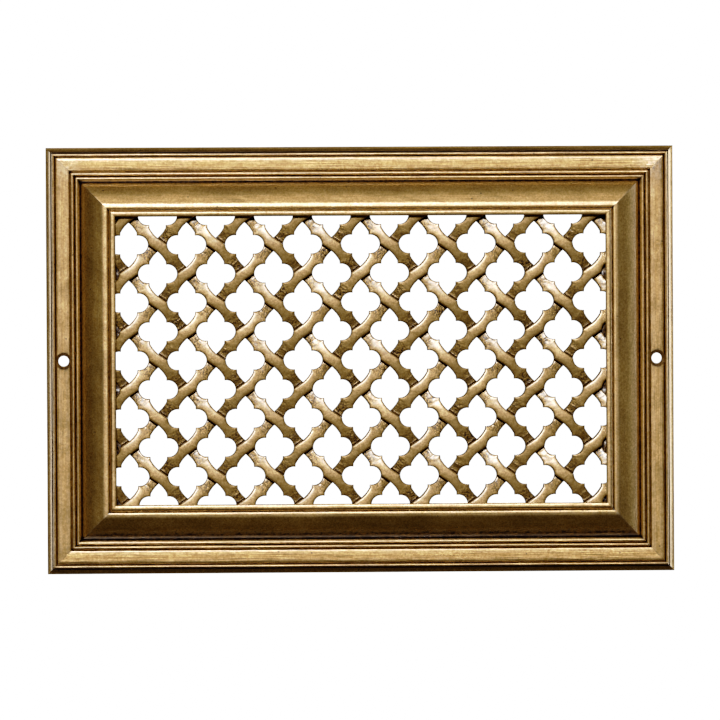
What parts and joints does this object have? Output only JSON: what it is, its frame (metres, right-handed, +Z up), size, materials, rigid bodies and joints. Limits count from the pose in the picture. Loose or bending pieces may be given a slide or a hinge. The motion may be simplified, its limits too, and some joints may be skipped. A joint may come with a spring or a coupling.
{
  "type": "decorative vent cover",
  "caption": "Rectangular wall vent cover: a stepped cast moulding around a grille of woven diagonal bars with four-lobed openings.",
  "frame": {"origin": "middle of the back, in the wall plane, halfway across and halfway up", "axes": "+X along the width to the right seen from the front, +Y out of the back into the wall, +Z up"},
  "size_m": [0.33, 0.0158, 0.224],
  "materials": {
    "frame": "cast resin with satin antique gold metallic paint, finely pebbled, with a dark brown glaze left in the grooves",
    "lattice": "cast resin with satin antique gold metallic paint, hammered where a bar dives, dark brown glaze beside each crossing"
  },
  "bodies": {
    "root": {"frame": "frame", "lattice_grille": "lattice"}
  },
  "joints": []
}
